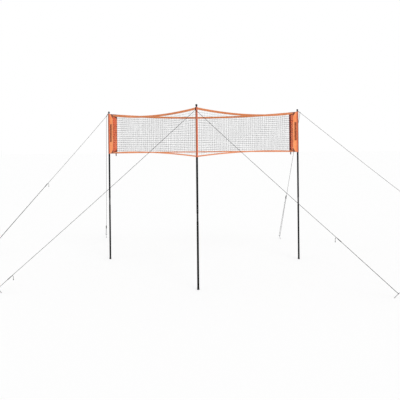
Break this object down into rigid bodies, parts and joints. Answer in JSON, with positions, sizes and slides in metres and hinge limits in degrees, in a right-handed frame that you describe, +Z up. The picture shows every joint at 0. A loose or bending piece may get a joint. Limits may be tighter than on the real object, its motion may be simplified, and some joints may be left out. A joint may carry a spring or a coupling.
{
  "type": "three-way volleyball net on poles",
  "caption": "Three volleyball nets hung in a triangle between telescopic poles, held up by guy lines with rope runners and ground stakes.",
  "frame": {"origin": "on the ground, in the middle of the poles' footprint", "axes": "+X towards the right pole along the back net, -Y towards the front pole, +Z up"},
  "size_m": [8.3367, 4.2372, 2.4715],
  "materials": {
    "pole_paint": "semi-gloss black powder coat",
    "inner_tube_paint": "semi-gloss black, rubbed by sliding",
    "foot_rubber": "matte",
    "cap_plastic": "fine moulded",
    "button_steel": "satin",
    "spring_steel": "satin",
    "rivet_steel": "satin",
    "panel_fabric": "woven, coated",
    "sleeve_fabric": "woven, coated",
    "tape_webbing": "woven webbing",
    "net_twine": "knotted twine",
    "guy_rope": "braided cord",
    "runner_plastic": "moulded",
    "stake_steel": "galvanised"
  },
  "bodies": {
    "ground_set": {"front_foot": "foot_rubber", "front_lower_tube": "pole_paint", "front_inner_tube": "inner_tube_paint", "front_button_spring": "spring_steel", "left_foot": "foot_rubber", "left_lower_tube": "pole_paint", "left_inner_tube": "inner_tube_paint", "left_button_spring": "spring_steel", "right_foot": "foot_rubber", "right_lower_tube": "pole_paint", "right_inner_tube": "inner_tube_paint", "right_button_spring": "spring_steel", "tube_rivets": "rivet_steel", "front_right_guy": "guy_rope", "front_left_guy": "guy_rope", "left_side_guy": "guy_rope", "left_back_guy": "guy_rope", "right_side_guy": "guy_rope", "right_back_guy": "guy_rope", "front_right_stake": "stake_steel", "front_left_stake": "stake_steel", "left_side_stake": "stake_steel", "left_back_stake": "stake_steel", "right_side_stake": "stake_steel", "right_back_stake": "stake_steel"},
    "front_upper": {"front_upper_tube": "pole_paint", "front_cap": "cap_plastic", "front_sleeve": "sleeve_fabric", "front_guy_loop": "guy_rope", "front_left_mesh": "net_twine", "front_left_top_tape": "tape_webbing", "front_left_bottom_tape": "tape_webbing", "front_right_mesh": "net_twine", "front_right_top_tape": "tape_webbing", "front_right_bottom_tape": "tape_webbing"},
    "left_upper": {"left_upper_tube": "pole_paint", "left_cap": "cap_plastic", "left_sleeve": "sleeve_fabric", "left_guy_loop": "guy_rope", "back_mesh": "net_twine", "back_top_tape": "tape_webbing", "back_bottom_tape": "tape_webbing", "left_front_panel": "panel_fabric", "left_back_panel": "panel_fabric"},
    "right_upper": {"right_upper_tube": "pole_paint", "right_cap": "cap_plastic", "right_sleeve": "sleeve_fabric", "right_guy_loop": "guy_rope", "right_front_panel": "panel_fabric", "right_back_panel": "panel_fabric"},
    "front_button": {"front_snap_button": "button_steel"},
    "left_button": {"left_snap_button": "button_steel"},
    "right_button": {"right_snap_button": "button_steel"},
    "front_right_slider": {"front_right_runner": "runner_plastic"},
    "front_left_slider": {"front_left_runner": "runner_plastic"},
    "left_side_slider": {"left_side_runner": "runner_plastic"},
    "left_back_slider": {"left_back_runner": "runner_plastic"},
    "right_side_slider": {"right_side_runner": "runner_plastic"},
    "right_back_slider": {"right_back_runner": "runner_plastic"}
  },
  "joints": [
    {"name": "front_height", "type": "slide", "parent": "ground_set", "child": "front_upper", "axis": [0, 0, 1], "range_m": [-0.1, 0], "deforming": ["front_right_guy", "front_left_guy", "front_snap_button"]},
    {"name": "left_height", "type": "slide", "parent": "ground_set", "child": "left_upper", "axis": [0, 0, 1], "range_m": [-0.1, 0], "deforming": ["left_side_guy", "left_back_guy", "left_snap_button"]},
    {"name": "right_height", "type": "slide", "parent": "ground_set", "child": "right_upper", "axis": [0, 0, 1], "range_m": [-0.1, 0], "deforming": ["right_side_guy", "right_back_guy", "right_snap_button"]},
    {"name": "front_button_press", "type": "slide", "parent": "ground_set", "child": "front_button", "axis": [0, 1, 0], "range_m": [0, 0.0045], "stiffness_N_per_m": 600, "springref_m": -0.003, "deforming": ["front_button_spring"]},
    {"name": "left_button_press", "type": "slide", "parent": "ground_set", "child": "left_button", "axis": [1, 0, 0], "range_m": [0, 0.0045], "stiffness_N_per_m": 600, "springref_m": -0.003, "deforming": ["left_button_spring"]},
    {"name": "right_button_press", "type": "slide", "parent": "ground_set", "child": "right_button", "axis": [-1, 0, 0], "range_m": [0, 0.0045], "stiffness_N_per_m": 600, "springref_m": -0.003, "deforming": ["right_button_spring"]},
    {"name": "front_right_runner_slide", "type": "slide", "parent": "ground_set", "child": "front_right_slider", "axis": [-0.7305, 0.0969, 0.676], "range_m": [-0.1, 0.1]},
    {"name": "front_left_runner_slide", "type": "slide", "parent": "ground_set", "child": "front_left_slider", "axis": [0.7472, 0.0426, 0.6632], "range_m": [-0.1, 0.1]},
    {"name": "left_side_runner_slide", "type": "slide", "parent": "ground_set", "child": "left_side_slider", "axis": [0.6801, -0.0976, 0.7266], "range_m": [-0.1, 0.1]},
    {"name": "left_back_runner_slide", "type": "slide", "parent": "ground_set", "child": "left_back_slider", "axis": [0.1461, -0.6346, 0.7589], "range_m": [-0.1, 0.1]},
    {"name": "right_side_runner_slide", "type": "slide", "parent": "ground_set", "child": "right_side_slider", "axis": [-0.7685, 0.0785, 0.635], "range_m": [-0.1, 0.1]},
    {"name": "right_back_runner_slide", "type": "slide", "parent": "ground_set", "child": "right_back_slider", "axis": [0.0642, -0.6046, 0.7939], "range_m": [-0.1, 0.1]}
  ],
  "couplings": [
    {"joint": "left_height", "follows": "front_height", "ratio": 1},
    {"joint": "right_height", "follows": "front_height", "ratio": 1}
  ]
}
